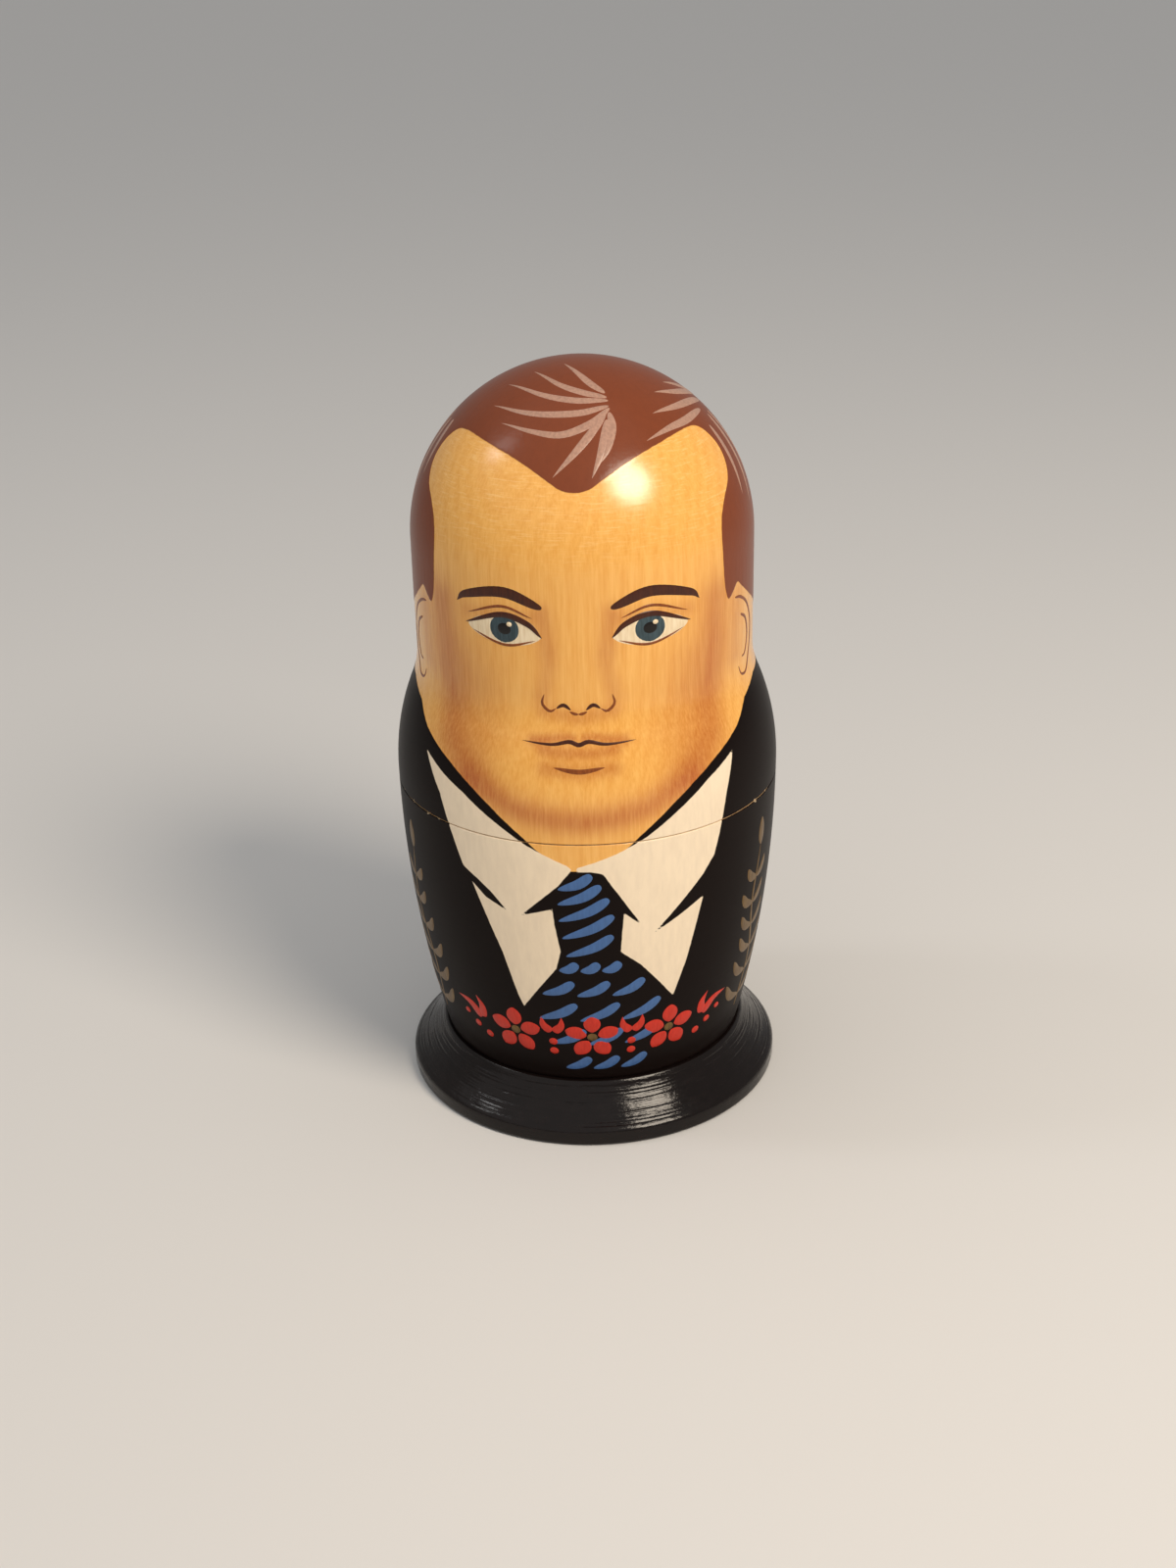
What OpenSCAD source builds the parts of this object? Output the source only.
// Nesting doll in five sizes, the largest on a turned plinth.
// Every piece is turned about Z. The dolls face -Y and stand inside one another, closed.
// Lengths are in millimetres, and heights on a doll are measured up from that doll's own base.

/* [Outer doll] */
// Height of the outer doll, without its plinth
doll_height = 102; // [98:0.5:110]
// Radius of the head and of its round crown
head_r = 24.4; // [24:0.1:25]
// Radius at the shoulders, where the doll is widest
shoulder_r = 28.1; // [27.8:0.1:29]
// Height of the widest place
shoulder_z = 43; // [42:0.5:46]
// Height of the seam where the two halves part
seam_z = 41.2; // [39:0.1:41.5]
// Radius of the long curve from the shoulders down to the base
body_curve_r = 175; // [170:5:260]
// Radius of the curve over the shoulders
shoulder_curve_r = 33.8; // [32:0.1:36]
// Radius of the hollow curve at the neck
neck_curve_r = 14.3; // [12:0.1:16]

/* [Plinth] */
// Height of the plinth
plinth_h = 8; // [6:0.5:12]
// Radius of the plinth's rim
plinth_r = 28.4; // [27:0.1:32]
// Height of the upright band around the rim
rim_h = 2.2; // [1.5:0.1:3]
// Radius that rounds the rim's lower and upper edges
rim_round = 0.6; // [0.2:0.1:0.7]
// Width of the narrow ledge that shows around the foot of the doll
ledge_w = 0.5; // [0.2:0.1:1]
// Radius of the glued spigot under the doll
spigot_r = 9; // [6:0.5:14]
// Height of the glued spigot
spigot_h = 4; // [3:0.5:5]

/* [Nesting] */
// Size of the second, third, fourth and innermost doll, as a share of the outer one
inner_sizes = [0.8, 0.63, 0.48, 0.35]; // [0.34:0.01:0.81]
// Wall thickness of the four hollow dolls, outermost first
walls = [3.64, 2.6, 2.08, 1.82]; // [1.56:0.26:3.64]
// Floor thickness of the four hollow dolls, outermost first
floors = [7, 3.2, 2.8, 2.4]; // [2.2:0.1:7.5]

/* [Fits] */
// Height of the lip on each lower half, outermost first
lip_heights = [6, 5, 4, 3.2]; // [3:0.1:6.5]
// Share of the wall that the lip takes, the rest is the skirt around it
lip_share = 0.46; // [0.4:0.01:0.5]
// Radial clearance between lip and skirt
lip_clearance = 0.12; // [0.05:0.01:0.2]
// Gap left at the seam, and under a doll that stands in another
seat_gap = 0.1; // [0.05:0.01:0.2]
// Room above the end of the lip
lip_end_gap = 0.5; // [0.3:0.1:1]
// Bevel that leads the lip into the skirt
lip_bevel = 0.35; // [0.1:0.05:0.5]
// Glue line around the plinth's spigot
glue_gap = 0.05; // [0.02:0.01:0.1]

/* [Hidden] */
$fn = 96;
// A length well past every piece, for cutting
far = 400;

wood = "#e0a35a";
hair = "#7d3f27";
suit = "#1c1412";
lacquer = "#14100f";

// Size of each doll as a share of the outer one, outermost first
sizes = concat([1], inner_sizes);
// Height at which doll i stands
function seat_z(i) = i == 0 ? plinth_h : seat_z(i - 1) + floors[i - 1] + seat_gap;
// Height of the seam of doll i above its base
function seam_of(i) = seam_z * sizes[i];
// Outside radius of the lip of doll i
function lip_r(i) = shoulder_r * sizes[i] - walls[i] * (1 - lip_share);

// Height of the middle of the round crown
crown_z = doll_height - head_r;
// Line from the middle of the shoulder curve to the middle of the neck curve
neck_dx = head_r + neck_curve_r - (shoulder_r - shoulder_curve_r);
neck_dz = sqrt(pow(shoulder_curve_r + neck_curve_r, 2) - pow(neck_dx, 2));
// Slope of that line, which gives the point where the two curves meet
neck_angle = atan2(neck_dz, neck_dx);
// Height where the neck curve runs into the upright side of the head
neck_top_z = shoulder_z + neck_dz;

// Flat strip between two heights, from the axis out to a radius
module strip(z0, z1, r = far) {
    polygon([[0, z0], [r, z0], [r, z1], [0, z1]]);
}

// Part of a disc that lies in a strip
module arc_strip(x, z, r, z0, z1) {
    intersection() {
        translate([x, z]) circle(r);
        strip(z0, z1);
    }
}

// Half outline of a doll of size k, with its surface moved inwards by inset
module outline(k, inset = 0) {
    meet_z = k * shoulder_z + (k * shoulder_curve_r - inset) * sin(neck_angle);
    arc_strip(k * (shoulder_r - body_curve_r), k * shoulder_z, k * body_curve_r - inset, 0, k * shoulder_z);
    arc_strip(k * (shoulder_r - shoulder_curve_r), k * shoulder_z, k * shoulder_curve_r - inset,
        k * shoulder_z, meet_z);
    difference() {
        strip(meet_z, k * neck_top_z, k * (head_r + neck_curve_r));
        translate([k * (head_r + neck_curve_r), k * neck_top_z]) circle(k * neck_curve_r + inset);
    }
    strip(k * neck_top_z, k * crown_z, k * head_r - inset);
    arc_strip(0, k * crown_z, k * head_r - inset, k * crown_z, k * doll_height);
}

// Half section of the lip's lead-in bevel, which is cut away
module lip_lead_in(i) {
    z = seam_of(i) + lip_heights[i];
    polygon([
        [lip_r(i) - lip_bevel, z],
        [lip_r(i), z - lip_bevel],
        [lip_r(i) + lip_bevel, z],
    ]);
}

// Lower half of doll i: a cup with a thin lip, whose root reaches down behind the seam.
// A socket in its base is cut where socket_r is given
module lower_half(i, socket_r = 0, socket_h = 0) {
    rim_z = seam_of(i) + lip_heights[i];
    translate([0, 0, seat_z(i)]) rotate_extrude() difference() {
        union() {
            intersection() {
                outline(sizes[i]);
                strip(0, seam_of(i));
            }
            strip(seam_of(i) - lip_heights[i], rim_z, lip_r(i));
        }
        intersection() {
            outline(sizes[i], walls[i]);
            strip(floors[i], far);
        }
        lip_lead_in(i);
        if (socket_r > 0) strip(0, socket_h, socket_r);
    }
}

// Upper half of doll i: a cap whose skirt goes over the lip
module upper_half(i) {
    translate([0, 0, seat_z(i)]) rotate_extrude() difference() {
        intersection() {
            outline(sizes[i]);
            strip(seam_of(i) + seat_gap, far);
        }
        outline(sizes[i], walls[i]);
        strip(0, seam_of(i) + lip_heights[i] + lip_end_gap, lip_r(i) + lip_clearance);
    }
}

// Base radius of the outer doll, where it stands on the plinth
foot_r = shoulder_r - body_curve_r + sqrt(pow(body_curve_r, 2) - pow(shoulder_z, 2));

module plinth() {
    color(lacquer) rotate_extrude() polygon([
        [0, 0],
        [plinth_r - rim_round, 0],
        [plinth_r, rim_round],
        [plinth_r, rim_h],
        [plinth_r - rim_round, rim_h + rim_round],
        [foot_r + ledge_w, plinth_h],
        [spigot_r, plinth_h],
        [spigot_r, plinth_h + spigot_h],
        [0, plinth_h + spigot_h],
    ]);
}

module outer_bottom() {
    color(suit) lower_half(0, spigot_r + glue_gap, spigot_h + glue_gap);
}

module outer_top() {
    color(wood) upper_half(0);
}

module second_bottom() {
    color(suit) lower_half(1);
}

module second_top() {
    color(wood) upper_half(1);
}

module third_bottom() {
    color(suit) lower_half(2);
}

module third_top() {
    color(wood) upper_half(2);
}

module fourth_bottom() {
    color(suit) lower_half(3);
}

module fourth_top() {
    color(wood) upper_half(3);
}

// The smallest doll is solid and doesn't open
module innermost_doll() {
    color(hair) translate([0, 0, seat_z(4)]) rotate_extrude() outline(sizes[4]);
}

plinth();
outer_bottom();
outer_top();
second_bottom();
second_top();
third_bottom();
third_top();
fourth_bottom();
fourth_top();
innermost_doll();
